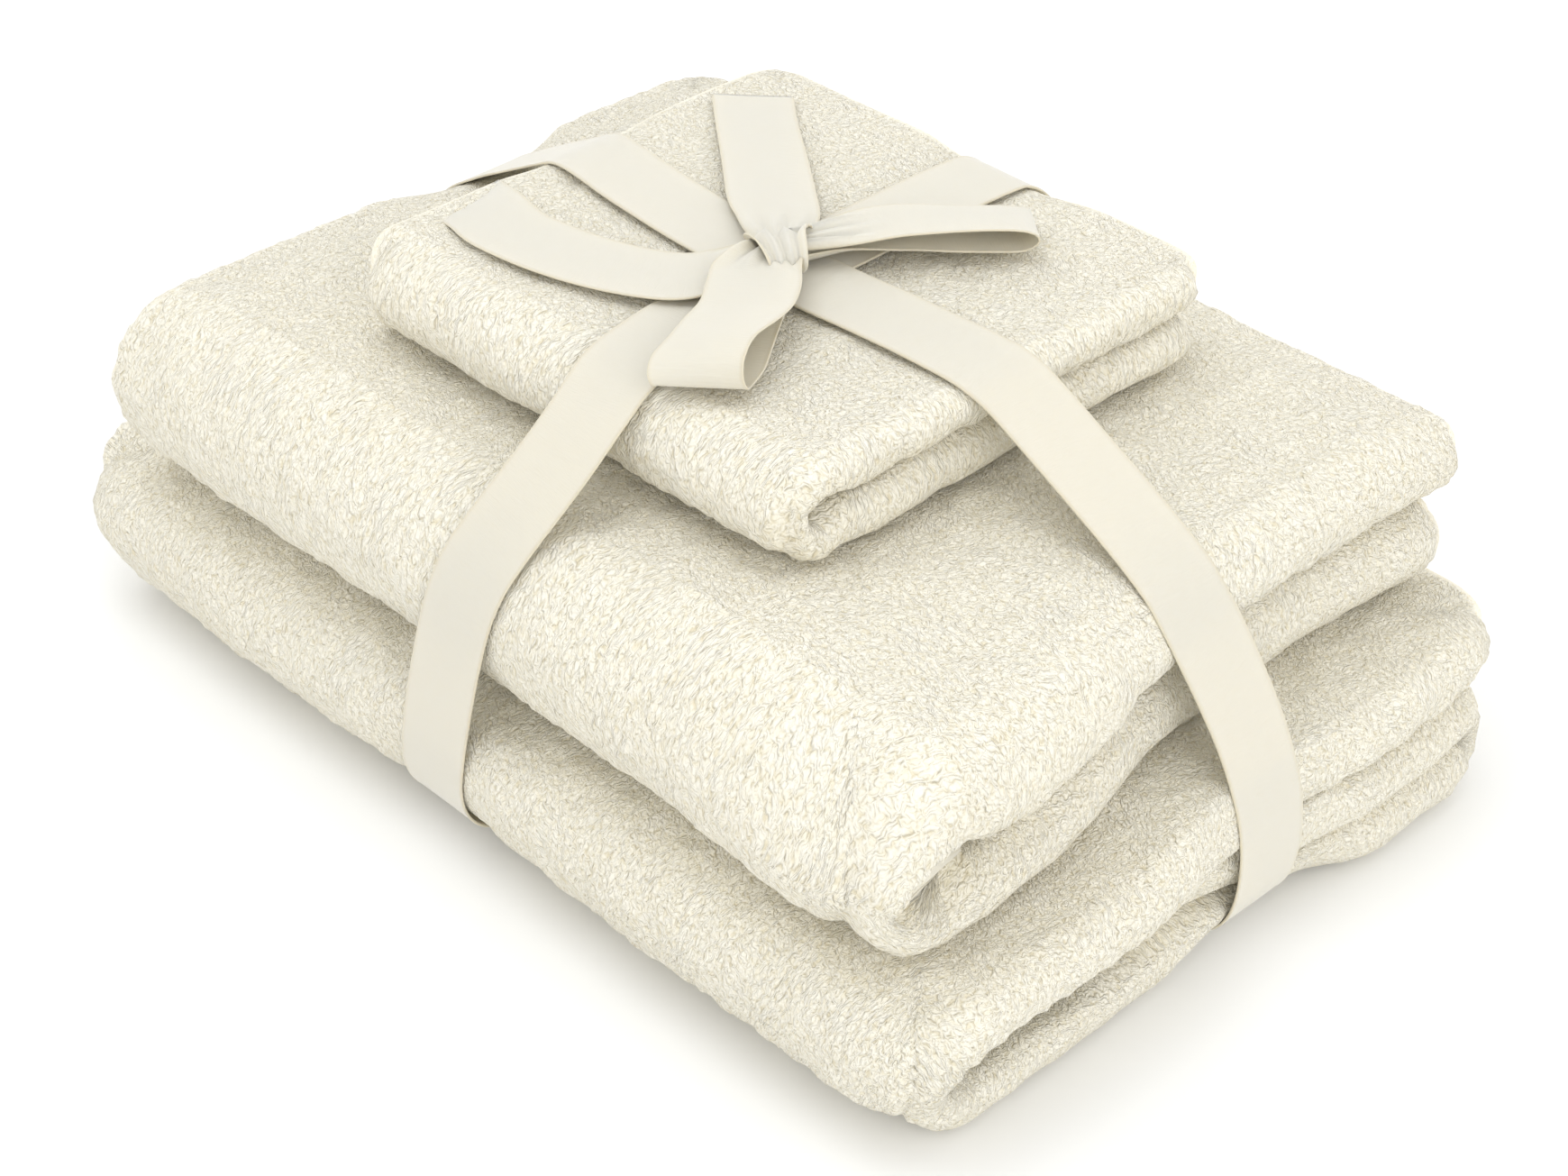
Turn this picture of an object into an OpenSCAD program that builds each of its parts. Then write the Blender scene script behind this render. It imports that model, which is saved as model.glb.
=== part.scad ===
// Bath towel set: a folded bath towel, hand towel and face cloth, stacked and tied
// crosswise with one ribbon that ends in a bow on top.
// Origin: on the floor, below the middle of the set. X is along the long side, and the
// rounded folds of the two large towels face -Y. Millimetres.

/* [Bath towel] */
// Folded length along X
bath_l = 360; // [320:1:400]
// Folded width along Y
bath_w = 240; // [220:1:260]
// Height of its three packs of four layers
bath_h = 56; // [48:1:66]

/* [Hand towel] */
// Folded length along X
hand_l = 308; // [280:1:320]
// Folded width along Y
hand_w = 234; // [210:1:238]
// Height of its two packs of three layers
hand_h = 55; // [44:1:60]
// Shift towards +Y from the middle of the bath towel
hand_y = 2; // [-5:1:5]

/* [Face cloth] */
// Folded length along X
face_l = 172; // [150:1:190]
// Folded width along Y
face_w = 162; // [150:1:180]
// Height of its two packs of two layers
face_h = 30; // [22:1:34]
// Shift towards +X from the middle of the bath towel
face_x = 3; // [-15:1:15]
// Shift towards +Y from the middle of the bath towel
face_y = 7; // [-10:1:15]

/* [Ribbon] */
// Width of the ribbon
ribbon_w = 25; // [20:1:30]
// Thickness of the ribbon, doubled hems included
ribbon_t = 0.8; // [0.6:0.1:1]
// Where the band over the -Y and +Y sides lies along X
cross_x = 9; // [0:1:15]
// Where the band over the ends lies along Y
long_y = 4; // [-5:1:10]
// Where the knot lies along X
knot_x = 13; // [5:1:15]
// Where the knot lies along Y
knot_y = -3; // [-5:1:5]
// Length of the right bow loop from the knot's middle
right_l = 72; // [60:1:80]
// Length of the front bow loop from the knot's middle
front_l = 66; // [60:1:75]
// Height inside a bow loop
loop_gap = 7; // [5:1:10]
// Length of a tail from the knot's middle
tail_l = 96; // [70:1:100]
// Radius of the knot
knot_r = 11; // [10:0.5:12]
// Height of the knot
knot_h = 11; // [9:1:14]

/* [Hidden] */
$fn = 48;

// Gap between folded packs that lie on each other
slit = 0.5;
// Air between pieces that lie on each other, and between a band and its channel
air = 0.3;
// Past a face, so that a cut goes right through it
past = 1;
// Corner radius of the folded towels, seen from above
bath_corner = 26;
hand_corner = 24;
face_corner = 14;

bath_packs = 3;
hand_packs = 2;
face_packs = 2;
// How far the lower slit of the bath towel stays from its folds
slit_end = 12;
// Where the free edge of the bath towel's middle pack lies, from its middle
middle_edge = 30;

hand_z = bath_h + air;
face_z = hand_z + hand_h + air;
top_z = face_z + face_h;

// The two bands cross under the set in channels of the bath towel, clear of the floor.
cross_low = 0.2;
long_low = cross_low + ribbon_t + air;
// Air beside a band in its channel
channel_air = 0.4;
// On top the long band lies over the cross band.
cross_top = top_z + air;
long_top = cross_top + ribbon_t + air;
bow_z = long_top + ribbon_t + air;

// How far the bands press into the folds at -Y and +Y, and into the ends of the bath towel
cross_press = 2;
long_press = 7;
// Size of the bevel where a band turns over a rounded towel edge
bevel = 9;
// Face cloth edges are tighter, and so are the bevels over them.
face_bevel = 5;

// Angles of the bow's loops and tails, counted from +X
right_angle = 61;
front_angle = -61;
left_angle = 202;
back_angle = 140;
// The loops and tails start this far from the middle of the knot, gathered to a narrow
// root, and have their full width from fan on.
root = knot_r + 1.2;
root_w = 11;
fan = 26;
// Loops rise from this height at the root, over this length.
root_h = 2 * ribbon_t + air;
loop_slope = 22;

towel_colour = [0.93, 0.91, 0.85];
ribbon_colour = [0.96, 0.94, 0.89];

// Rectangle with round ends, from x = -length / 2 to length / 2 and y = 0 to height
module stadium(length, height) {
    r = height / 2;
    translate([-length / 2 + r, 0]) square([length - height, height]);
    for (side = [-1, 1])
        translate([side * (length / 2 - r), r]) circle(r);
}

// Rectangle with round corners, centred
module plan(length, width, r) {
    square([length - 2 * r, width], center = true);
    square([length, width - 2 * r], center = true);
    for (x = [-1, 1], y = [-1, 1])
        translate([x * (length / 2 - r), y * (width / 2 - r)]) circle(r);
}

// Packs of folded layers on each other, as the ends of the towel show them
module pack_stack(length, height, packs) {
    pack = height / packs;
    for (i = [0 : packs - 1])
        translate([0, i * pack]) stadium(length, pack);
    // The packs press on each other, so the waist between them is shallow.
    translate([-length / 2 + pack / 4, pack / 2])
        square([length - pack / 2, height - pack]);
}

// A folded towel: its end view along Y, its side view along X (the children) and its plan
module folded(length, width, height, packs, corner) {
    intersection() {
        translate([0, width / 2 + past, -slit / 2])
            rotate([90, 0, 0]) linear_extrude(width + 2 * past)
                pack_stack(length, height + slit, packs);
        translate([-length / 2 - past, 0, 0])
            rotate([90, 0, 90]) linear_extrude(length + 2 * past) children();
        translate([0, 0, -past])
            linear_extrude(height + 2 * past) plan(length, width, corner);
    }
}

// Fold in half seen along X: one round fold at -Y and two free pack edges at +Y
module half_fold(width, height) {
    pack = height / 2;
    difference() {
        union() {
            translate([-width / 2 + pack, pack]) circle(pack);
            translate([-width / 2 + pack, 0]) square([width - 1.5 * pack, height]);
            for (z = [0, pack])
                translate([width / 2 - pack / 2, z + pack / 2]) circle(pack / 2);
        }
        translate([-width / 2 + pack, pack - slit / 2]) square([width, slit]);
    }
}

// Fold in thirds seen along X: the outer fold at -Y wraps the whole height, and the
// inner fold at +Y joins the bottom and the middle pack.
module third_fold(width, height) {
    pack = height / 3;
    difference() {
        union() {
            translate([-width / 2 + height / 2, height / 2]) circle(height / 2);
            translate([-width / 2 + height / 2, 0])
                square([width - height / 2 - pack, 2 * pack]);
            translate([-width / 2 + height / 2, pack])
                square([width - height / 2 - pack / 2, 2 * pack]);
            translate([width / 2 - pack, pack]) circle(pack);
            translate([width / 2 - pack / 2, 2.5 * pack]) circle(pack / 2);
        }
        translate([-width / 2 + height / 2, 2 * pack - slit / 2]) square([width, slit]);
        translate([middle_edge, pack - slit / 2])
            square([width / 2 - middle_edge - slit_end, slit]);
    }
}

// Unit normal of the side from p to q, on its right
function side_normal(p, q) = let(d = q - p) [d[1], -d[0]] / norm(d);
// The point moved t outwards from both of its sides
function moved(before, p, after, t) =
    let(m = side_normal(before, p), n = side_normal(p, after)) p + t * (m + n) / (1 + m * n);
// A closed outline moved t outwards. Its points run counter-clockwise.
function grown(points, t) = let(n = len(points))
    [for (i = [0 : n - 1]) moved(points[(i + n - 1) % n], points[i], points[(i + 1) % n], t)];

// One side of a band's inner outline, from the floor up over the edges of the bath towel
// and the hand towel and in a straight slope to the face cloth.
// reach holds how far the three towels reach on that side.
function band_side(reach, press, low, top) = let(side = reach[0] - press) [
    [side - 2.4 * bevel, low], [side - bevel, low + 0.7 * bevel],
    [side - bevel / 5, bath_h / 3], [side, 0.6 * bath_h],
    [reach[1], hand_z + 0.4 * hand_h],
    [reach[1] - 0.4 * bevel, hand_z + hand_h - bevel],
    [reach[1] - 1.7 * bevel, hand_z + hand_h + air],
    [reach[2], top - face_bevel], [reach[2] - face_bevel, top]];

// The whole inner outline: the high side going up, then the low side going down
function band_outline(high_reach, low_reach, press, low, top) =
    let(down = band_side(low_reach, press, low, top)) concat(
        band_side(high_reach, press, low, top),
        [for (i = [len(down) - 1 : -1 : 0]) [-down[i][0], down[i][1]]]);

cross_inner = band_outline(
    [bath_w / 2, hand_w / 2 + hand_y, face_w / 2 + face_y],
    [bath_w / 2, hand_w / 2 - hand_y, face_w / 2 - face_y],
    cross_press, cross_low + ribbon_t, cross_top);
long_inner = band_outline(
    [bath_l / 2, hand_l / 2, face_l / 2 + face_x],
    [bath_l / 2, hand_l / 2, face_l / 2 - face_x],
    long_press, long_low + ribbon_t, long_top);

// Puts an outline of the cross band in its plane, width wide
module across(width) {
    translate([cross_x, 0, 0]) rotate([90, 0, 90])
        linear_extrude(width, center = true) children();
}

// The same for the long band
module along(width) {
    translate([0, long_y, 0]) rotate([90, 0, 0])
        linear_extrude(width, center = true) children();
}

module band(inner) {
    difference() {
        polygon(grown(inner, ribbon_t));
        polygon(inner);
    }
}

// All that a towel gives way to below a band
module outside(inner) {
    difference() {
        square(3 * bath_l, center = true);
        polygon(grown(inner, -air));
    }
}

// The towel with a channel where each band presses into it
module tied() {
    color(towel_colour) difference() {
        children();
        across(ribbon_w + 2 * channel_air) outside(cross_inner);
        along(ribbon_w + 2 * channel_air) outside(long_inner);
    }
}

module bath_towel() {
    tied() folded(bath_l, bath_w, bath_h, bath_packs, bath_corner)
        third_fold(bath_w, bath_h);
}

module hand_towel() {
    tied() translate([0, hand_y, hand_z])
        folded(hand_l, hand_w, hand_h, hand_packs, hand_corner)
            half_fold(hand_w, hand_h);
}

module face_cloth() {
    tied() translate([face_x, face_y, face_z])
        folded(face_l, face_w, face_h, face_packs, face_corner)
            half_fold(face_w, face_h);
}

// Over the -Y and +Y sides
module ribbon_band_cross() {
    color(ribbon_colour) across(ribbon_w) band(cross_inner);
}

// Over the -X and +X ends
module ribbon_band_long() {
    color(ribbon_colour) along(ribbon_w) band(long_inner);
}

// The wrap of ribbon that all ends come out of
module bow_knot() {
    bulge = knot_h / 2;
    color(ribbon_colour) translate([knot_x, knot_y, bow_z]) rotate_extrude() {
        square([knot_r - bulge, knot_h]);
        translate([knot_r - bulge, bulge]) intersection() {
            circle(bulge);
            translate([0, -bulge]) square([bulge, knot_h]);
        }
    }
}

// A strip of ribbon of this length on the knot. The children are its profile, drawn
// with x along the strip and y up.
module strip(angle, length) {
    color(ribbon_colour) translate([knot_x, knot_y, bow_z]) rotate([0, 0, angle])
        intersection() {
            rotate([90, 0, 0]) linear_extrude(ribbon_w, center = true) children();
            translate([0, 0, -past]) linear_extrude(knot_h + 2 * past)
                polygon([[root, -root_w / 2], [fan, -ribbon_w / 2],
                    [length + past, -ribbon_w / 2], [length + past, ribbon_w / 2],
                    [fan, ribbon_w / 2], [root, root_w / 2]]);
        }
}

// Ring of ribbon: flat below, round at the tip, and sloping down to the knot
module loop(angle, length) {
    r = loop_gap / 2 + ribbon_t;
    bend = length - r;
    strip(angle, length) difference() {
        union() {
            translate([bend, r]) circle(r);
            polygon([[root, 0], [bend, 0], [bend, 2 * r],
                [root + loop_slope, 2 * r], [root, root_h]]);
        }
        translate([bend, r]) circle(r - ribbon_t);
        polygon([[root + 2 * ribbon_t, ribbon_t], [bend, ribbon_t],
            [bend, 2 * r - ribbon_t], [root + loop_slope, 2 * r - ribbon_t]]);
    }
}

module tail(angle) {
    strip(angle, tail_l) translate([root, 0]) square([tail_l - root, ribbon_t]);
}

module bow_loop_right() { loop(right_angle, right_l); }
module bow_loop_front() { loop(front_angle, front_l); }
module bow_tail_left() { tail(left_angle); }
module bow_tail_back() { tail(back_angle); }

bath_towel();
hand_towel();
face_cloth();
ribbon_band_cross();
ribbon_band_long();
bow_knot();
bow_loop_right();
bow_loop_front();
bow_tail_left();
bow_tail_back();
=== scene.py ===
"""Bath towel set: three folded terry towels tied crosswise with a satin ribbon."""
import itertools
import math

import bpy
import numpy as np
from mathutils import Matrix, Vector


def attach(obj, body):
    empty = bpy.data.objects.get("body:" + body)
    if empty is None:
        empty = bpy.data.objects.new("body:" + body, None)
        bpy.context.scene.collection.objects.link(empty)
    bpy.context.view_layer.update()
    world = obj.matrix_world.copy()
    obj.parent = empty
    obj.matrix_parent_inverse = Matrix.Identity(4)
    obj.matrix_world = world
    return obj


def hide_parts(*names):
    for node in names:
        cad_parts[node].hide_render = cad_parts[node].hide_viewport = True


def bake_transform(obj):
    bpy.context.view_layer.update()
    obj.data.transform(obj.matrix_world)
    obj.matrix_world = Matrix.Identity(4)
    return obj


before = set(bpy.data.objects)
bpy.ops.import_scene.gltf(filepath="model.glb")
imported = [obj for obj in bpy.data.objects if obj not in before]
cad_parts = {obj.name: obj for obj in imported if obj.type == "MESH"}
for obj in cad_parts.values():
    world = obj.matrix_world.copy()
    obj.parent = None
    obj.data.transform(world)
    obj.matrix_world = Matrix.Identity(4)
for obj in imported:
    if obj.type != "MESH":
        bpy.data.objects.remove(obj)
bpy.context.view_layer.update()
MM = 0.001

# Shapes are worked out in millimetres and scaled by MM when a mesh is made. The camera and the
# lights are in metres.

# The folded towels: half the length, half the width and the height
BATH, HAND, FACE = (180, 120, 56), (154, 118, 55), (86, 81, 30)
# Air between the pieces, the middle of the underside of both upper towels, and how high the
# pile of each towel may reach
AIR = 0.3
HAND_PLACE = (0, 2, BATH[2] + AIR)
FACE_PLACE = (3, 7, HAND_PLACE[2] + HAND[2] + AIR)
BATH_TOP, HAND_TOP, FACE_TOP = 57.5, 113, 142
# The width of a hem, and how far lumps and tufts of pile stand out
HEM = 3
TUFT = 1.25
# The ribbon's width, its thickness in the bands and in the bow, and how deep a band sinks in
RIBBON = 25.0
BAND_THICKNESS, BOW_THICKNESS = 0.5, 0.4
BAND_DEPTH = 0.4
# The middle of the knot, which all four strips of the bow leave.
KNOT_CENTRE = np.array((13, -3, 144.1))


# ---------------------------------------------------------------- camera, light, floor
def make_camera():
    """The photo's view: from the +X, -Y corner, about 36 degrees down."""
    azimuth, elevation, distance = math.radians(46.2), math.radians(35.7), 0.8153
    target = Vector((0.0345, -0.0228, 0.0600))
    back = Vector((
        math.sin(azimuth) * math.cos(elevation),
        -math.cos(azimuth) * math.cos(elevation),
        math.sin(elevation),
    ))
    data = bpy.data.cameras.new("camera")
    data.lens = 68.81
    data.sensor_width = 36
    camera = bpy.data.objects.new("camera", data)
    bpy.context.scene.collection.objects.link(camera)
    camera.location = target + back * distance
    camera.rotation_mode = "QUATERNION"
    camera.rotation_quaternion = (-back).to_track_quat("-Z", "Y")
    bpy.context.scene.camera = camera


def area_light(name, place, size, power, colour=(1, 1, 1)):
    """A light that looks at the middle of the set."""
    data = bpy.data.lights.new(name, "AREA")
    data.shape = "RECTANGLE"
    data.size, data.size_y = size
    data.energy = power
    data.color = colour
    light = bpy.data.objects.new(name, data)
    light.location = place
    light.rotation_mode = "QUATERNION"
    aim = Vector((0, 0, 0.06)) - Vector(place)
    light.rotation_quaternion = aim.to_track_quat("-Z", "Y")
    bpy.context.scene.collection.objects.link(light)


def make_studio():
    """A white world that gives most of the light, a cool key above and a fill at +X."""
    world = bpy.data.worlds.new("studio")
    world.use_nodes = True
    back = world.node_tree.nodes["Background"]
    back.inputs["Color"].default_value = (1, 1, 1, 1)
    back.inputs["Strength"].default_value = 0.96
    bpy.context.scene.world = world
    area_light("key", (-0.25, -0.3, 1.8), size=(1.3, 1.3), power=9, colour=(0.94, 0.97, 1.0))
    area_light("fill", (1.5, -0.4, 0.8), size=(1.2, 1.2), power=6)
    bpy.context.scene.view_settings.view_transform = "Standard"


def make_floor():
    reach = 20
    corners = [(-reach, -reach, 0), (reach, -reach, 0), (reach, reach, 0), (-reach, reach, 0)]
    mesh = bpy.data.meshes.new("floor")
    mesh.from_pydata(corners, [], [(0, 1, 2, 3)])
    floor = bpy.data.objects.new("floor", mesh)
    bpy.context.scene.collection.objects.link(floor)
    mesh.materials.append(floor_paint())


# ---------------------------------------------------------------- materials
class Nodes:
    """Short names for building a node tree."""

    def __init__(self, name):
        self.material = bpy.data.materials.new(name)
        self.material.use_nodes = True
        self.tree = self.material.node_tree
        self.shader = self.tree.nodes["Principled BSDF"]

    def add(self, kind, **settings):
        node = self.tree.nodes.new("ShaderNode" + kind)
        for key, value in settings.items():
            if key in node.inputs:
                node.inputs[key].default_value = value
            else:
                setattr(node, key, value)
        return node

    def link(self, start, end):
        self.tree.links.new(start, end)

    def math(self, operation, first, second=0.5):
        node = self.add("Math", operation=operation)
        for value, socket in ((first, node.inputs[0]), (second, node.inputs[1])):
            if isinstance(value, (int, float)):
                socket.default_value = value
            else:
                self.link(value, socket)
        return node.outputs[0]

    def ramp(self, value, stops):
        node = self.add("ValToRGB")
        elements = node.color_ramp.elements
        while len(elements) < len(stops):
            elements.new(0.5)
        for element, (place, colour) in zip(elements, stops):
            element.position = place
            element.color = (*colour, 1)
        self.link(value, node.inputs[0])
        return node.outputs[0]

    def relief(self, height, **settings):
        bump = self.add("Bump", **settings)
        self.link(height, bump.inputs["Height"])
        self.link(bump.outputs[0], self.shader.inputs["Normal"])

    def surface(self, values):
        for key, value in values.items():
            self.shader.inputs[key].default_value = value


def floor_paint():
    n = Nodes("floor_paint")
    n.surface({
        "Base Color": (0.93, 0.93, 0.92, 1),
        "Roughness": 0.9,
        "Specular IOR Level": 0.1,
    })
    return n.material


def bent(n, cloth):
    """The cloth's own coordinates, bent by up to 0.9 mm so that no loop lies straight."""
    bend = n.add("TexNoise", noise_dimensions="2D", Scale=540.0, Detail=1.0)
    n.link(cloth, bend.inputs["Vector"])
    centred = n.add("VectorMath", operation="SUBTRACT")
    centred.inputs[1].default_value = (0.5, 0.5, 0.5)
    n.link(bend.outputs["Color"], centred.inputs[0])
    scaled = n.add("VectorMath", operation="SCALE")
    scaled.inputs["Scale"].default_value = 1.8 * MM
    n.link(centred.outputs[0], scaled.inputs[0])
    moved = n.add("VectorMath", operation="ADD")
    n.link(cloth, moved.inputs[0])
    n.link(scaled.outputs[0], moved.inputs[1])
    return moved.outputs[0]


def loop_layer(n, place, angle):
    """The height of long cells that lie at an angle. Each is a loop with its own rank."""
    lie = n.add("Mapping", vector_type="TEXTURE")
    lie.inputs["Location"].default_value = (angle, -angle, 0)
    lie.inputs["Rotation"].default_value = (0, 0, angle)
    lie.inputs["Scale"].default_value = (0.66 * MM, 1.8 * MM, 1)
    n.link(place, lie.inputs["Vector"])
    loops = n.add("TexVoronoi", voronoi_dimensions="2D", feature="F1", Scale=1.0)
    n.link(lie.outputs[0], loops.inputs["Vector"])
    rank = n.add("SeparateXYZ")
    n.link(loops.outputs["Color"], rank.inputs[0])
    return n.math("SUBTRACT", n.math("MULTIPLY", rank.outputs[0], 0.4),
                  n.math("POWER", loops.outputs["Distance"], 1.6))


def terry(name):
    """Uncut cotton loops in two directions, which take turns on top from patch to patch."""
    n = Nodes(name)
    cloth = n.add("UVMap", uv_map="cloth").outputs[0]
    place = bent(n, cloth)
    nap = n.add("TexNoise", noise_dimensions="2D", Scale=70.0, Detail=1.0)
    n.link(cloth, nap.inputs["Vector"])
    nap = n.math("SUBTRACT", nap.outputs[0], 0.5)
    layers = [n.math("ADD", loop_layer(n, place, angle), n.math("MULTIPLY", nap, lead))
              for angle, lead in ((0.4, 0.8), (2.0, -0.8))]
    height = n.math("MAXIMUM", *layers)
    # Painted shade: the colour is darker and yellower in the low gaps between the loops and
    # lighter on their crests.
    colour = n.ramp(n.math("ADD", height, 0.5), (
        (0.12, (0.790, 0.715, 0.525)),
        (0.45, (0.895, 0.843, 0.692)),
        (0.75, (0.935, 0.897, 0.780)),
    ))
    n.link(colour, n.shader.inputs["Base Color"])
    fibre = n.add("TexNoise", noise_dimensions="2D", Scale=2600.0, Detail=2.0)
    n.link(cloth, fibre.inputs["Vector"])
    height = n.math("ADD", height, n.math("MULTIPLY", fibre.outputs[0], 0.25))
    pile = n.add("Attribute", attribute_name="pile")
    height = n.math("MULTIPLY", height, pile.outputs["Fac"])
    n.relief(height, Strength=0.9, Distance=1 * MM)
    n.surface({
        "Roughness": 0.95,
        "Specular IOR Level": 0.12,
        "Sheen Weight": 0.25,
        "Sheen Roughness": 0.6,
        "Sheen Tint": (1.0, 0.97, 0.90, 1),
    })
    return n.material


# ---------------------------------------------------------------- folding
LATTICE = 64
TABLE = np.random.default_rng(11).uniform(-1, 1, (LATTICE, LATTICE, LATTICE))


def noise(points, size, shift):
    """A smooth random field from -1 to 1, with lumps of this size."""
    place = points / size + shift
    cell = np.floor(place).astype(int)
    part = place - cell
    part = part * part * part * (part * (part * 6 - 15) + 10)
    total = np.zeros(len(points))
    for corner in itertools.product((0, 1), repeat=3):
        i = (cell + corner) % LATTICE
        weight = np.prod(np.where(corner, part, 1 - part), axis=1)
        total += weight * TABLE[i[:, 0], i[:, 1], i[:, 2]]
    return total


def smooth(value, low, high):
    """0 below low, 1 above high and smooth between."""
    t = np.clip((value - low) / (high - low), 0, 1)
    return t * t * (3 - 2 * t)


class Path:
    """A folded line: points, the tangent at each, and the length up to each."""

    # Where points lie in the rim, as parts of its width
    RIM_STEPS = (0.0, 0.08, 0.3, 0.62)

    def __init__(self):
        self.points, self.tangents = [], []

    def run(self, start, end, step):
        start, end = np.array(start, float), np.array(end, float)
        count = max(1, round(np.linalg.norm(end - start) / step))
        way = (end - start) / np.linalg.norm(end - start)
        for i in range(count + 1):
            self.put(start + (end - start) * i / count, way)

    def turn(self, centre, radius, start, sweep, step):
        """An arc from the angle start, in degrees; a positive sweep turns left."""
        count = max(4, round(abs(math.radians(sweep)) * radius / step))
        side = math.copysign(1, sweep)
        for i in range(count + 1):
            a = math.radians(start + sweep * i / count)
            out = np.array((math.cos(a), math.sin(a)))
            self.put(np.array(centre) + radius * out, side * np.array((-out[1], out[0])))

    def put(self, point, tangent):
        if not self.points or np.linalg.norm(point - self.points[-1]) > 1e-6:
            self.points.append(point)
            self.tangents.append(tangent)

    def finish(self, rim):
        """Adds close steps at both ends, so that the edge of the cloth can be round."""
        points, tangents = list(self.points), list(self.tangents)
        for _ in range(2):
            # They replace the points within the rim, but never more than seven of those.
            near = [points[0] + tangents[0] * rim * part for part in self.RIM_STEPS]
            keep = [i for i, p in enumerate(points)
                    if np.dot(p - points[0], tangents[0]) > rim or i > 6]
            points = near + points[keep[0]:]
            tangents = [tangents[0]] * len(near) + tangents[keep[0]:]
            points = points[::-1]
            tangents = [-t for t in tangents[::-1]]
        self.points, self.tangents = np.array(points), np.array(tangents)
        gaps = np.linalg.norm(np.diff(self.points, axis=0), axis=1)
        self.length = np.concatenate(((0,), np.cumsum(gaps)))
        self.edge = np.minimum(self.length, self.length[-1] - self.length)
        self.normals = np.stack((-self.tangents[:, 1], self.tangents[:, 0]), axis=1)
        return self


def folded_cloth(first, second, thickness):
    """Points of both sides of a cloth folded by first (x, h) and then second (y, z).

    h is the height inside the folded pack, and is laid off along the second's normal.
    Returns two grids of points and the pile, which is 0 on the hem and 1 elsewhere.
    """
    edge = np.minimum(first.edge[:, None], second.edge[None, :])
    rim = thickness / 2
    near = np.clip(edge / rim, 0, 1)
    pile = smooth(edge, HEM * 0.7, HEM * 1.3)
    half = rim * np.sqrt(1 - (1 - near) ** 2) * (0.7 + 0.3 * pile)
    sides = []
    for side in (1, -1):
        x = first.points[:, :1] + side * first.normals[:, :1] * half
        h = first.points[:, 1:] + side * first.normals[:, 1:] * half
        y = second.points[None, :, 0] + second.normals[None, :, 0] * h
        z = second.points[None, :, 1] + second.normals[None, :, 1] * h
        sides.append(np.stack((x, y, z), axis=2))
    return sides, pile


def grid_normals(grid):
    normal = np.cross(np.gradient(grid, axis=0), np.gradient(grid, axis=1))
    return normal / np.maximum(np.linalg.norm(normal, axis=2, keepdims=True), 1e-9)


def closed_mesh(name, sides, pile, along, across, material):
    """Joins the two grids at their rims into one closed mesh, with flat cloth coordinates."""
    rows, columns = pile.shape
    top = np.arange(rows * columns).reshape(rows, columns)
    under = top + rows * columns
    under[0], under[-1] = top[0], top[-1]
    under[:, 0], under[:, -1] = top[:, 0], top[:, -1]
    faces = []
    for index, order in ((top, (0, 1, 2, 3)), (under, (3, 2, 1, 0))):
        quad = np.stack((index[:-1, :-1], index[1:, :-1], index[1:, 1:], index[:-1, 1:]), 2)
        faces.append(quad.reshape(-1, 4)[:, order])
    faces = np.concatenate(faces)
    points = np.concatenate([side.reshape(-1, 3) for side in sides])
    u, v = np.meshgrid(along, across, indexing="ij")
    flat = np.tile(np.stack((u.ravel(), v.ravel()), 1), (2, 1)) * MM
    return make_mesh(name, points, faces, flat, np.tile(pile.ravel(), 2), material)


def make_mesh(name, points, faces, flat, pile, material):
    """A smooth shaded mesh from millimetres, with its cloth map and its pile."""
    used, faces = np.unique(faces, return_inverse=True)
    faces = faces.reshape(-1, 4)
    mesh = bpy.data.meshes.new(name)
    mesh.vertices.add(len(used))
    mesh.vertices.foreach_set("co", (points[used] * MM).ravel())
    mesh.loops.add(faces.size)
    mesh.loops.foreach_set("vertex_index", faces.ravel())
    mesh.polygons.add(len(faces))
    mesh.polygons.foreach_set("loop_start", np.arange(0, faces.size, 4))
    mesh.polygons.foreach_set("use_smooth", np.ones(len(faces), bool))
    mesh.update()
    layer = mesh.uv_layers.new(name="cloth")
    layer.data.foreach_set("uv", flat[used][faces.ravel()].ravel())
    short = mesh.attributes.new("pile", "FLOAT", "POINT")
    short.data.foreach_set("value", pile[used])
    mesh.materials.append(material)
    mesh.validate()
    obj = bpy.data.objects.new(name, mesh)
    bpy.context.scene.collection.objects.link(obj)
    return obj


def round_plan(p, centre, half, radius):
    """Rounds the corners seen from above. radius holds -x and +x at -y, then at +y."""
    side = p[:, :2] - centre
    corner = (side[:, 0] >= 0) + 2 * (side[:, 1] >= 0)
    r = np.array(radius)[corner][:, None]
    v = np.maximum(np.abs(side) - (half - r), 0)
    longest, length = v.max(axis=1), np.linalg.norm(v, axis=1)
    scale = np.where(length > 0, longest / np.maximum(length, 1e-9), 1)
    q = p.copy()
    q[:, :2] -= np.sign(side) * v * (1 - scale[:, None])
    return q


# ---------------------------------------------------------------- the ribbon's course
def squeeze(over, room, soft):
    """Presses what stands out beyond room back, softly, so that layers keep their order."""
    return room - soft * np.logaddexp(0, (room - over) / soft)


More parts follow.
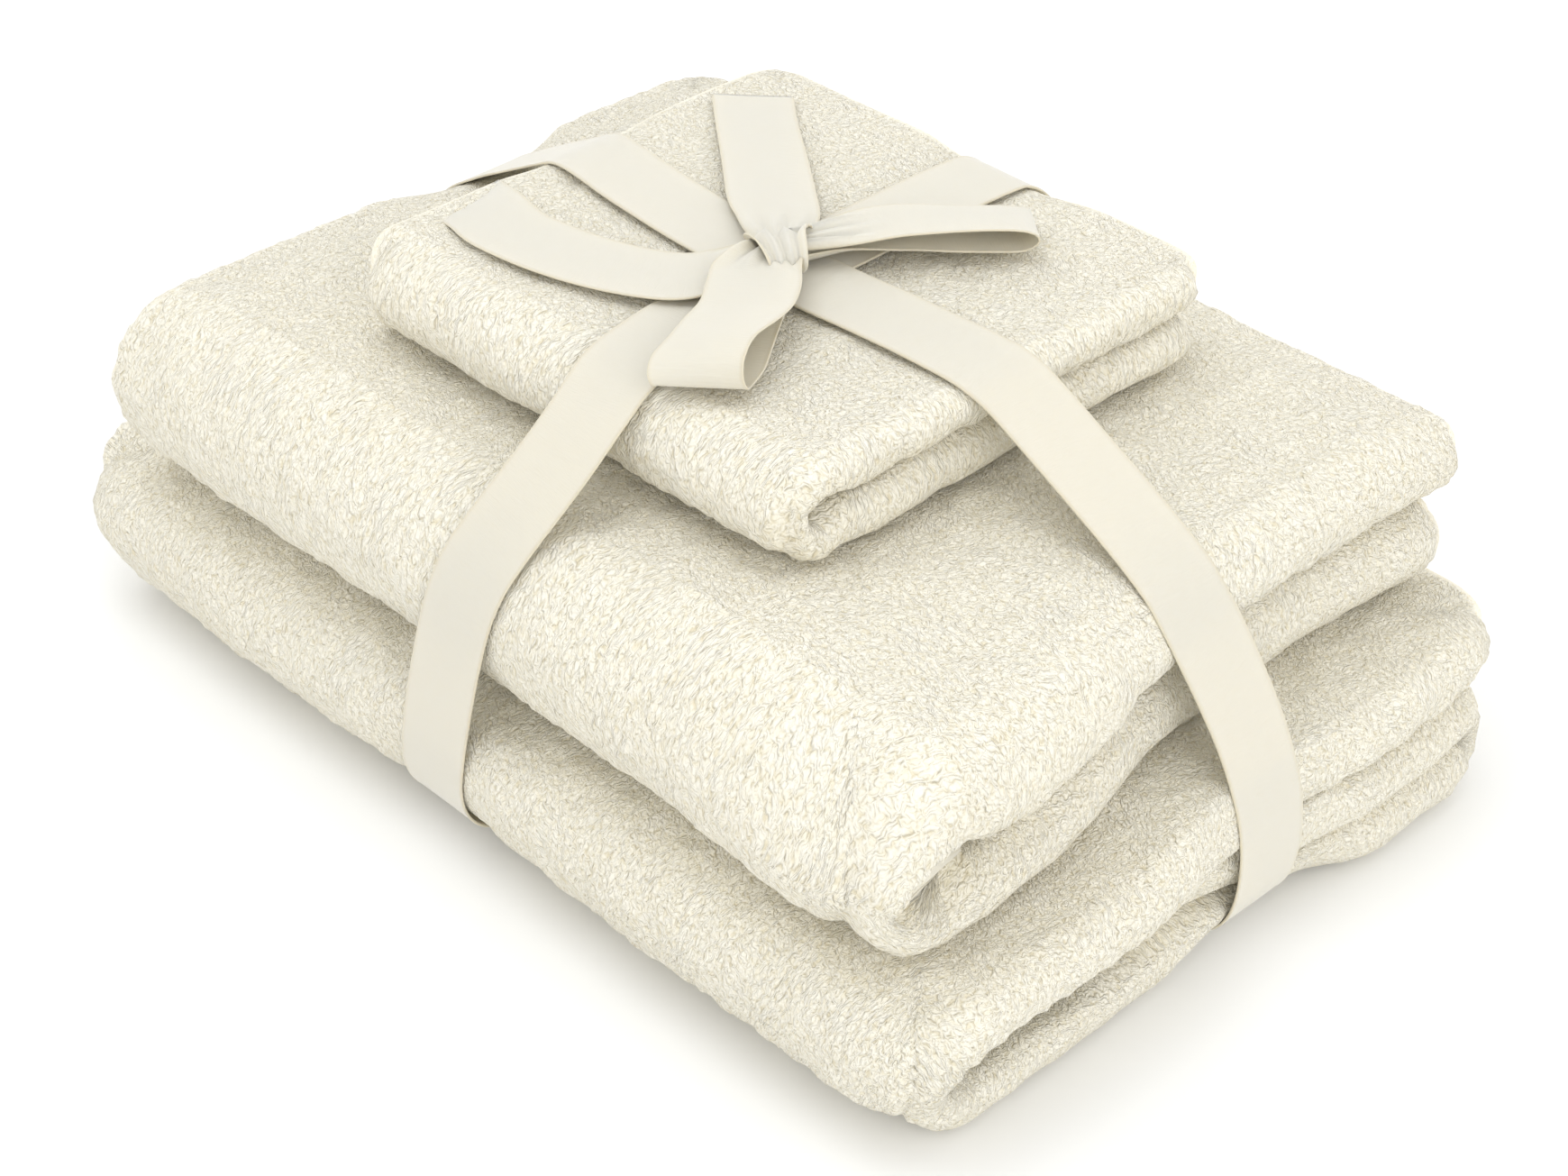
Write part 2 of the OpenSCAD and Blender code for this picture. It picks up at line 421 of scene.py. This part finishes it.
class Band:
    """A convex closed course in an upright plane. Keys hold (along, height, across).

    axis is the axis across the band: 0 for X, 1 for Y. The cloth beside the band curves up
    with the radius shoulder / 2, and soft is how gently it gives way.
    """

    def __init__(self, axis, keys, soft, shoulder):
        self.axis, self.soft, self.shoulder = axis, soft, shoulder
        points = np.array(keys, float)
        for _ in range(3):
            after = np.roll(points, -1, axis=0)
            points = np.stack((points * 0.75 + after * 0.25, points * 0.25 + after * 0.75), 1)
            points = points.reshape(-1, 3)
        self.points = points
        edge = np.roll(points, -1, axis=0) - points
        self.across = points[:, 2] + edge[:, 2] / 2
        self.normals = np.stack((edge[:, 1], -edge[:, 0]), 1)
        self.normals /= np.linalg.norm(self.normals, axis=1, keepdims=True)
        self.reach = np.sum(self.normals * points[:, :2], axis=1)

    def press(self, p):
        """Moves what stands out of the course below the strip back inside it."""
        out = p[:, [1 - self.axis, 2]] @ self.normals.T - self.reach
        worst = out.argmax(axis=1)
        over = out[np.arange(len(p)), worst]
        off = np.abs(p[:, self.axis] - self.across[worst]) - RIBBON / 2
        room = -BAND_DEPTH + np.maximum(off + 0.5, 0) ** 2 / self.shoulder
        back = over - squeeze(over, room, self.soft)
        q = p.copy()
        q[:, 1 - self.axis] -= self.normals[worst, 0] * back
        q[:, 2] -= self.normals[worst, 1] * back
        return q

    def place(self, points):
        """Course points as x, y, z."""
        order = (2, 0, 1) if self.axis == 0 else (0, 2, 1)
        return points[:, order]


# The course of both bands: across the floor, up on one side, over the top, and down.
# A band's own places across it differ along the way, because the ribbon runs a little askew.
CROSS = Band(0, [
    (-92, 0.5, -7), (98, 0.5, 8), (114, 8, 9), (120, 22, 9), (121.5, 45, 10),
    (121, 82, 11), (119, 98, 12), (113, 109, 12), (92, 132, 12), (85, 139, 12),
    (76, 142.2, 12), (-30, 142.2, 13.5), (-56, 142.2, 17), (-68, 140, 19.5),
    (-77, 134.5, 21), (-88, 125, 20.5), (-104, 108.5, 16.5),
    (-112, 97, 13), (-116.5, 82, 10), (-119, 48, 2.5), (-118.5, 24, -3), (-110, 8, -6),
], soft=1.6, shoulder=70)
LONG = Band(1, [
    (-153, 0.8, 22), (153, 0.8, 15), (168, 5, 15), (175.5, 17, 15), (177, 40, 14),
    (170, 62, 13), (160, 84, 9), (153, 100, 4.5), (144, 111, 3.5), (96, 135, 4.5),
    (88, 139.5, 3.5), (79, 142.7, 1.4), (50, 142.7, 0), (25, 142.7, -2), (-12, 142.7, -1.5),
    (-44, 142.7, 1), (-70, 142.7, 5), (-79, 140.5, 7), (-87, 136, 8.5), (-138, 107, 20),
    (-150, 98, 21), (-160, 84, 22), (-170, 62, 22), (-177, 40, 22), (-175.5, 17, 22),
    (-168, 5, 22),
], soft=1.2, shoulder=90)


# ---------------------------------------------------------------- towels
def bath_folds():
    """Four layers along X, then thirds along Y with the free end inside."""
    length, width, height = BATH
    layer, pack = height / 12, height / 3
    h = [(i - 1.5) * layer for i in range(4)]
    right, left = length - 2 * layer, -length + 2 * layer
    first = Path()
    first.run((left - 2, h[0]), (right, h[0]), step=12)
    first.turn((right, 0), 1.5 * layer, start=-90, sweep=180, step=1.3)
    first.run((right, h[3]), (left - 2, h[3]), step=1.9)
    first.turn((left - 2, h[3] - layer / 2), layer / 2, start=90, sweep=180, step=1.3)
    first.run((left - 2, h[2]), (right, h[2]), step=12)
    first.turn((right, 0), 0.5 * layer, start=90, sweep=-180, step=1.3)
    first.run((right, h[1]), (left - 5, h[1]), step=12)
    low, mid, high = pack * 0.5, pack * 1.5, pack * 2.5
    near, far = -width + height / 2, width - pack
    free_end, top_end = -29, width - 2
    second = Path()
    second.run((free_end, mid), (far, mid), step=8)
    second.turn((far, (low + mid) / 2), pack / 2, start=90, sweep=-180, step=1.6)
    second.run((far, low), (near, low), step=6)
    second.turn((near, height / 2), pack, start=-90, sweep=-180, step=1.3)
    second.run((near, high), (top_end, high), step=1.9)
    return first.finish(rim=2), second.finish(rim=2)


def hand_folds():
    """Three layers along X, then in half along Y."""
    length, width, height = HAND
    layer, pack = height / 6, height / 2
    right, left = length - 1.5 * layer, layer - length
    first = Path()
    first.run((left, -layer), (right, -layer), step=12)
    first.turn((right, 0), layer, start=-90, sweep=180, step=1.3)
    first.run((right, layer), (left, layer), step=1.9)
    first.turn((left, layer / 2), layer / 2, start=90, sweep=180, step=1.3)
    first.run((left, 0), (right - layer * 0.6, 0), step=12)
    middle = HAND_PLACE[1]
    near, far = middle - width + pack, middle + width - 2
    second = Path()
    second.run((far - 5, pack / 2), (near, pack / 2), step=6)
    second.turn((near, pack), pack / 2, start=-90, sweep=-180, step=1.2)
    second.run((near, pack * 1.5), (far, pack * 1.5), step=1.9)
    return first.finish(rim=2.5), second.finish(rim=2.5)


def face_folds():
    """Two layers along X, then in half along Y."""
    length, width, height = FACE
    layer, pack = height / 4, height / 2
    right = length - layer
    first = Path()
    first.run((3 - length, -layer / 2), (right, -layer / 2), step=6)
    first.turn((right, 0), layer / 2, start=-90, sweep=180, step=1.1)
    first.run((right, layer / 2), (-length, layer / 2), step=1.6)
    near, far = -width + pack, width - 1
    second = Path()
    second.run((far - 3, pack / 2), (near, pack / 2), step=6)
    second.turn((near, pack), pack / 2, start=-90, sweep=-180, step=1.1)
    second.run((near, pack * 1.5), (far, pack * 1.5), step=1.6)
    return first.finish(rim=2.5), second.finish(rim=2.5)


def plush(sides, pile):
    """Uneven pile: lumps and tufts of loops that push the surface in and out."""
    done = []
    for side, sign in zip(sides, (1, -1)):
        flat = side.reshape(-1, 3)
        rough = 0.45 * noise(flat, 8.0, 3.3) + 0.5 * noise(flat, 2.7, 9.1)
        out = grid_normals(side) * sign
        done.append(side + out * (TUFT * rough * pile.ravel()).reshape(pile.shape)[..., None])
    return done


def uneven(p, size, amount, shift):
    """Slow unevenness in all three directions."""
    return p + amount * np.stack([noise(p, size, shift + i * 5.7) for i in range(3)], axis=1)


def pressed(p, top):
    """Pressed flat by the floor, the piece on top and both bands."""
    p = p.copy()
    p[:, 2] = -squeeze(-p[:, 2], room=-AIR, soft=0.8)
    p[:, 2] = squeeze(p[:, 2], room=top, soft=1.0)
    return LONG.press(CROSS.press(p))


def make_towel(name, folds, thickness, shape, top, material):
    """Folds, shapes and presses one sheet, hangs it on the towel stack and hides its CAD part.
    """
    first, second = folds
    sides, pile = folded_cloth(first, second, thickness)
    sides = [shape(side.reshape(-1, 3)).reshape(side.shape) for side in sides]
    sides = plush(sides, pile)
    sides = [pressed(side.reshape(-1, 3), top).reshape(side.shape) for side in sides]
    obj = closed_mesh("terry_" + name, sides, pile, first.length, second.length, material)
    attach(obj, "towel_stack")
    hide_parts(name)


def sag(p):
    """From 0 to 1: how much the cloth hangs above the hollow beside the big fold."""
    return smooth(-p[:, 1], 5, 50) * (1 - smooth(-p[:, 1], 98, 120))


def open_fold(p, y, z, size):
    """A hollow along X in the bend of a fold, that pushes the layers around it outward."""
    flatness = (1.8, 1)
    side = (p[:, 1:] - (y, z)) / flatness
    r = np.maximum(np.linalg.norm(side, axis=1), 0.01)[:, None]
    q = p.copy()
    q[:, 1:] += side / r * (np.hypot(r, size) - r) * flatness
    return q


def shape_bath(p):
    p = round_plan(p, (0, 0), BATH[:2], (26, 26, 26, 26))
    x, y, z = p.T
    # The lowest layers are drawn in, but not at the far corner of the +X end.
    inward = (1 - smooth(z, 2, 34)) * (1 - smooth(x + y, 150, 290))
    x *= 1 - 0.048 * inward
    y *= 1 - 0.035 * inward
    # The middle pack's free corner is set back, and the top pack sags over it.
    middle = smooth(z, 17, 20) * (1 - smooth(z, 36, 39)) * smooth(y, -50, -45)
    x -= 9 * middle * (1 - smooth(y, -15, 25)) * smooth(x, 110, 170)
    z -= 6.5 * sag(p) * smooth(z, 16, 40)
    return uneven(p, size=55, amount=1.4, shift=0.0)


def shape_hand(p):
    # The fold gapes at the +X end and is tighter farther in.
    gape = 3 + 5 * smooth(p[:, :1], 80, 150)
    p = open_fold(p, y=-90, z=HAND[2] / 2, size=gape) + (0, 0, HAND_PLACE[2])
    x, y, z = p.T
    # The near corner of the +X end spreads. Its lower half is slimmer and set back.
    lower = (1 - smooth(z, 80, 87)) * (1 - smooth(y, 20, 100))
    x += (11 * smooth(-y, -60, 95) - 3 * lower) * smooth(x, 90, 154)
    slim = 7 * smooth(-y, -10, 80)
    slim *= np.maximum(1 - np.abs(z - 83.8) / 27, 0) * smooth(x, 60, 150)
    z -= slim + 6 * sag(p) * (1 - smooth(z, 84, 111))
    p = round_plan(p, HAND_PLACE[:2], HAND[:2], (10, 24, 24, 11))
    x, y, z = p.T
    # The top hangs a little towards its two far edges.
    rim = np.maximum(-x - 120, y - 86)
    z -= 5 * smooth(rim, 0, 34) * smooth(z, 70, 110)
    return uneven(p, size=55, amount=1.4, shift=20.0)


def shape_face(p):
    p = open_fold(p, y=-65, z=FACE[2] / 2, size=3.0) + FACE_PLACE
    p = round_plan(p, FACE_PLACE[:2], FACE[:2], (14, 14, 14, 14))
    return uneven(p, size=40, amount=1.0, shift=40.0)


def make_towels():
    """Each with the thickness of a layer."""
    make_towel("bath_towel", bath_folds(), 4.3, shape_bath, BATH_TOP, terry("terry_bath"))
    make_towel("hand_towel", hand_folds(), 7.0, shape_hand, HAND_TOP, terry("terry_hand"))
    make_towel("face_cloth", face_folds(), 6.2, shape_face, FACE_TOP, terry("terry_face"))


# ---------------------------------------------------------------- ribbon
def satin():
    """Woven ribbon: smooth, with fine cross ribs and a firmer edge on both sides, with painted
    shade along both edges.
    """
    n = Nodes("satin")
    cloth = n.add("UVMap", uv_map="cloth").outputs[0]
    parts = n.add("SeparateXYZ")
    n.link(cloth, parts.inputs[0])
    from_middle = n.math("ABSOLUTE", n.math("SUBTRACT", parts.outputs[1], RIBBON / 2 * MM))
    edge = n.add("MapRange")
    edge.inputs["From Min"].default_value = (RIBBON / 2 - 1.3) * MM
    edge.inputs["From Max"].default_value = (RIBBON / 2 - 0.3) * MM
    n.link(from_middle, edge.inputs["Value"])
    weave = n.add("TexNoise", noise_dimensions="2D", Scale=1.0, Detail=2.0)
    stretch = n.add("Mapping")
    stretch.inputs["Scale"].default_value = (2600, 240, 1)
    n.link(cloth, stretch.inputs["Vector"])
    n.link(stretch.outputs[0], weave.inputs["Vector"])
    # Painted shade: the colour darkens towards both edges, where the raised woven edge would
    # catch shadow.
    colour = n.ramp(edge.outputs[0], (
        (0.0, (0.716, 0.680, 0.585)),
        (0.5, (0.696, 0.655, 0.552)),
        (1.0, (0.650, 0.600, 0.480)),
    ))
    n.link(colour, n.shader.inputs["Base Color"])
    height = n.math("ADD", weave.outputs[0], n.math("MULTIPLY", edge.outputs[0], 1.5))
    n.relief(height, Strength=0.35, Distance=0.2 * MM)
    # Light passes through the thin cloth, so the inside of the loops isn't black.
    n.surface({
        "Roughness": 0.55,
        "Subsurface Weight": 0.8,
        "Subsurface Radius": (1.0, 0.95, 0.85),
        "Subsurface Scale": 1 * MM,
        "Specular IOR Level": 0.3,
        "Sheen Weight": 0.2,
        "Sheen Roughness": 0.4,
    })
    return n.material


def spline(keys, step):
    """A smooth line through the rows of keys, with even steps. Rows may hold many numbers."""
    keys = np.array(keys, float)
    keys = np.concatenate((2 * keys[:1] - keys[1:2], keys, 2 * keys[-1:] - keys[-2:-1]))
    rows = []
    for a, b, c, d in zip(keys, keys[1:], keys[2:], keys[3:]):
        count = max(2, round(np.linalg.norm((c - b)[:3]) / step))
        for t in np.arange(count) / count:
            rows.append(0.5 * (2 * b + (c - a) * t + (2 * a - 5 * b + 4 * c - d) * t * t
                               + (3 * b - a - 3 * c + d) * t ** 3))
    rows.append(keys[-2])
    return np.array(rows)


# Places across the ribbon, closer together at its edges
ACROSS = np.array([0, 0.006, 0.02, 0.05, 0.12, 0.2, 0.3, 0.4, 0.5,
                   0.6, 0.7, 0.8, 0.88, 0.95, 0.98, 0.994, 1])
MIDDLE = len(ACROSS) // 2


def ribbon_strip(name, rows, material, thickness, pleats):
    """A strip of ribbon from rows of (left edge, right edge), as x, y, z twice.

    pleats holds, for each row, how high the gathered folds across the strip stand.
    """
    left, right = rows[:, None, :3], rows[:, None, 3:6]
    grid = left + (right - left) * ACROSS[None, :, None]
    ripple = 0.12 * noise(grid.reshape(-1, 3), 14.0, 1.7).reshape(grid.shape[:2])
    # Three folds fit across the width.
    wave = ripple + pleats[:, None] * np.cos(2 * math.pi * (3.0 * ACROSS + 0.15))[None, :]
    grid = grid + grid_normals(grid) * wave[..., None]
    gaps = np.linalg.norm(np.diff(grid[:, MIDDLE], axis=0), axis=1)
    along = np.concatenate(((0,), np.cumsum(gaps)))
    across = ACROSS * RIBBON
    edge = np.minimum(np.minimum(along, along[-1] - along)[:, None],
                      np.minimum(across, RIBBON - across)[None, :])
    # The outermost 0.3 mm is round, and the woven edge is half as thick again as the middle.
    near = np.clip(edge / 0.3, 0, 1)
    woven_edge = 1 + 0.5 * (1 - smooth(edge, 0.6, 1.4))
    half = thickness / 2 * woven_edge * np.sqrt(1 - (1 - near) ** 2)
    out = grid_normals(grid) * half[..., None]
    pile = np.ones(grid.shape[:2])
    return closed_mesh(name, [grid + out, grid - out], pile, along, across, material)


def finish_ribbon(node):
    """Hides the CAD part that a strip stands for."""
    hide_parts(node)


def make_band(name, band, material):
    """Once round the set, from under the knot and back to it."""
    under_knot = np.abs(band.points[:, 0] - KNOT_CENTRE[1 - band.axis])
    on_top = band.points[:, 1] > FACE_TOP - 1
    start = np.argmin(under_knot + np.where(on_top, 0, 1000))
    course = np.roll(band.points, -start, axis=0)
    course = np.concatenate((course, course[:1]))
    centre = spline(band.place(course), 2.0)
    way = np.gradient(centre, axis=0)
    up = np.zeros((len(centre), 3))
    up[:, 1 - band.axis], up[:, 2] = way[:, 2], -way[:, 1 - band.axis]
    side = np.cross(up, way)
    side /= np.linalg.norm(side, axis=1, keepdims=True)
    side *= RIBBON / 2
    rows = np.concatenate((centre - side, centre + side), axis=1)
    obj = ribbon_strip("satin_" + name, rows, material, BAND_THICKNESS, np.zeros(len(rows)))
    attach(obj, "towel_stack")
    finish_ribbon(name)


# Rows of both edges of each strip of the bow: x, y, z twice
LOOP_RIGHT = [
    (17, -3, 147, 9, 3, 147), (19, 0, 147.2, 11, 8, 147), (24, 10.5, 147.3, 8, 20.5, 145.6),
    (33, 23, 146.3, 13, 33, 144.6), (42, 33, 145.4, 21, 46, 144.2),
    (48, 40.6, 144.9, 27, 54, 144), (53.5, 47.6, 144.8, 34, 62, 143.8),
    (55.9, 50.4, 147.6, 38.5, 66, 144.4), (54.4, 47.4, 150.8, 36, 63, 145.4),
    (48, 38, 152.4, 27.5, 51, 147.0), (36, 22.5, 152.2, 17, 36, 148.8),
    (27.7, 12.4, 150.6, 10, 22.5, 149), (21, 3, 150.4, 11, 9, 150.4),
    (17, -3, 150.4, 9, 3, 150.4),
]
LOOP_FRONT = [
    (20, -4, 146.5, 6, -12, 146), (27, -10, 147.5, 8, -20.5, 145.5),
    (38, -26.4, 147.5, 16.5, -38, 144.8), (46.6, -38.7, 146.7, 24.5, -51, 144.2),
    (50.6, -44.7, 146, 28.5, -57.5, 143.9), (53, -51, 145.2, 32, -65.5, 143.7),
    (55.8, -55.5, 147.5, 34.5, -68.5, 144.5), (55.8, -56.8, 151.5, 32.8, -68.2, 147.0),
    (54.5, -55, 155.6, 29.9, -64, 149), (50.5, -47.6, 157, 27.4, -56.2, 150),
    (46, -34.5, 155.2, 23, -47, 149.7), (40.7, -24.6, 153, 18.7, -37.7, 149.2),
    (34, -16, 151.8, 11.5, -28.5, 148.9), (27.1, -9.2, 151.2, 6.2, -21.5, 148.6),
    (21, -3, 151, 5, -13, 149.2), (17, 0, 150.5, 6, -8, 149.4),
]
TAIL_LEFT = [
    (8, -10, 147.5, 6, 0, 147.5), (11, -20, 146.4, 0, -4, 146.6),
    (11.9, -31.6, 145.2, -4.2, -12.5, 145.2), (0.2, -41.5, 144.2, -10.3, -18.9, 144.3),
    (-23, -50.2, 143.4, -28.3, -25.7, 143.4), (-51.3, -54, 143, -50.5, -29.2, 143.2),
    (-68, -50.5, 141.4, -67.5, -25.7, 142.6), (-79, -46.5, 138, -81, -22.4, 140.4),
]
TAIL_BACK = [
    (6, -4, 147.5, 12, 5, 147.5), (-3, -1, 147.2, 9, 12, 147.2),
    (-12, 4, 146, 4, 20, 146.3), (-22.9, 10.6, 144.9, -7.2, 29.6, 144.9),
    (-43, 27, 143.6, -26, 44.5, 143.6), (-63, 43, 143.1, -44.5, 58.5, 143.1),
    (-75, 53, 143, -57, 69, 143),
]


def middle_and_width(rows):
    """The line along the middle of a strip, and the distance between its edges."""
    left, right = rows[:, :3], rows[:, 3:]
    return (left + right) / 2, np.linalg.norm(right - left, axis=1)


def make_bow(material):
    """Two loops and two tails, each leaving the knot in its own direction in degrees."""
    strips = (("bow_loop_right", LOOP_RIGHT, 61), ("bow_loop_front", LOOP_FRONT, -61),
              ("bow_tail_left", TAIL_LEFT, 202), ("bow_tail_back", TAIL_BACK, 140))
    for name, keys, direction in strips:
        rows = spline(keys, 1.6)
        centre, width = middle_and_width(rows)
        # Where the ribbon is gathered near the knot, the width it lacks stands up in pleats.
        pleats = np.sqrt(np.clip(RIBBON ** 2 - width ** 2, 0, None)) * 0.075
        from_knot = np.linalg.norm((centre - KNOT_CENTRE)[:, :2], axis=1)
        pleats *= 1 - smooth(from_knot, 12, 34)
        obj = ribbon_strip("satin_" + name, rows, material, BOW_THICKNESS, pleats)
        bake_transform(obj)
        finish_ribbon(name)


# The wrap that holds the bow together: x, y, z of both edges
KNOT = [
    (6, 2, 144.6, 14, 9, 144.6), (1, -4, 146.5, 13, 9.5, 147), (4, -8, 151, 15, 6, 152),
    (10.5, -10.5, 153.2, 18.5, 0.5, 154.6), (16.5, -12.5, 152.2, 23, -3.5, 153.4),
    (19.5, -13, 149.0, 24.5, -5, 149.6), (16, -10, 145.2, 20, -3, 145.2),
]


def make_knot(material):
    """The wrap is gathered all along, so its pleats are even."""
    rows = spline(KNOT, 1.0)
    pleats = np.full(len(rows), 1.2)
    obj = ribbon_strip("satin_bow_knot", rows, material, BOW_THICKNESS, pleats)
    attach(obj, "towel_stack")
    finish_ribbon("bow_knot")


def make_ribbon():
    material = satin()
    make_band("ribbon_band_cross", CROSS, material)
    make_band("ribbon_band_long", LONG, material)
    make_bow(material)
    make_knot(material)


make_camera()
make_studio()
make_floor()
make_towels()
make_ribbon()
